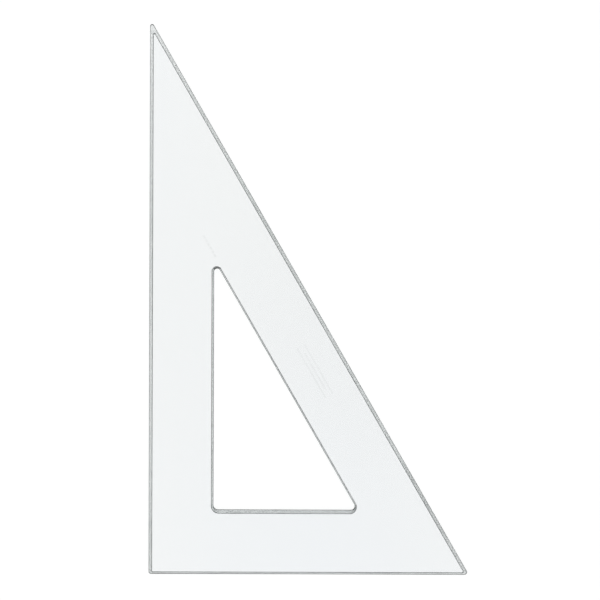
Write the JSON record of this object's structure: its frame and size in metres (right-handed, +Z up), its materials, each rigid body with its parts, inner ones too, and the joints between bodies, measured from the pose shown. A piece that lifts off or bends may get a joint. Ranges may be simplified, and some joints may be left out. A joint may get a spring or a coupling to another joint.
{
  "type": "set square",
  "caption": "Flat clear acrylic set square with 30, 60 and 90 degree corners, bevelled guiding edges and a triangular cutout with bevelled sides and a finger lift.",
  "frame": {"origin": "on the underside, at the middle of the outline's bounding box", "axes": "+Z up out of the upper face, +Y along the long leg towards the 30 degree point, +X along the short leg from the right angle towards the 60 degree corner"},
  "size_m": [0.1458, 0.2516, 0.0025],
  "materials": {
    "clear_acrylic": "polished clear sheet with a faint cool tint, slightly duller on its machined edges"
  },
  "bodies": {
    "root": {"set_square_plate": "clear_acrylic"}
  },
  "joints": []
}
